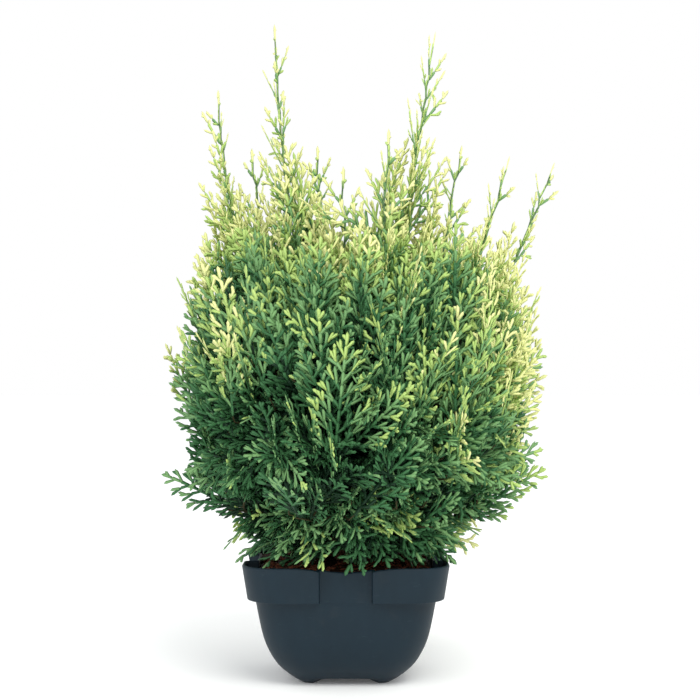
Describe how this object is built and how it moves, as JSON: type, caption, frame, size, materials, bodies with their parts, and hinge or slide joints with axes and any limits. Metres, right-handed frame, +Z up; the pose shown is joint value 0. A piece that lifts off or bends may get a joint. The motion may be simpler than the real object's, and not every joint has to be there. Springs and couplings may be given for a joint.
{
  "type": "potted false cypress",
  "caption": "Young false cypress with several upright leaders and flat feathery sprays, in a square plastic pot with a stepped rim band.",
  "frame": {"origin": "middle of the pot's flat underside", "axes": "+Z up through the trunk, -Y towards the side seen in the picture, +X to its right"},
  "size_m": [0.2568, 0.2407, 0.4222],
  "materials": {
    "pot": "satin moulded plastic",
    "soil": "moist peat with bark chips",
    "bark": "thin fibrous bark",
    "foliage": "waxy scale leaves"
  },
  "bodies": {
    "root": {"pot": "pot", "soil": "soil", "trunk": "bark", "leader_bough_1": "bark", "leader_bough_2": "bark", "leader_bough_3": "bark", "leader_bough_4": "bark", "leader_bough_5": "bark", "leader_bough_6": "bark", "leader_bough_7": "bark", "leader_bough_8": "bark", "leader_bough_9": "bark", "leader_bough_10": "bark", "side_bough_1": "bark", "side_bough_2": "bark", "side_bough_3": "bark", "side_bough_4": "bark", "side_bough_5": "bark", "side_bough_6": "bark", "side_bough_7": "bark", "skirt_bough_1": "bark", "skirt_bough_2": "bark", "skirt_bough_3": "bark", "skirt_bough_4": "bark", "skirt_bough_5": "bark", "skirt_bough_6": "bark", "skirt_bough_7": "bark", "leader_mass_1": "foliage", "leader_mass_2": "foliage", "leader_mass_3": "foliage", "leader_mass_4": "foliage", "leader_mass_5": "foliage", "leader_mass_6": "foliage", "leader_mass_7": "foliage", "leader_mass_8": "foliage", "leader_mass_9": "foliage", "leader_mass_10": "foliage", "side_mass_1": "foliage", "side_mass_2": "foliage", "side_mass_3": "foliage", "side_mass_4": "foliage", "side_mass_5": "foliage", "side_mass_6": "foliage", "side_mass_7": "foliage", "skirt_mass_1": "foliage", "skirt_mass_2": "foliage", "skirt_mass_3": "foliage", "skirt_mass_4": "foliage", "skirt_mass_5": "foliage", "skirt_mass_6": "foliage", "skirt_mass_7": "foliage"}
  },
  "joints": []
}
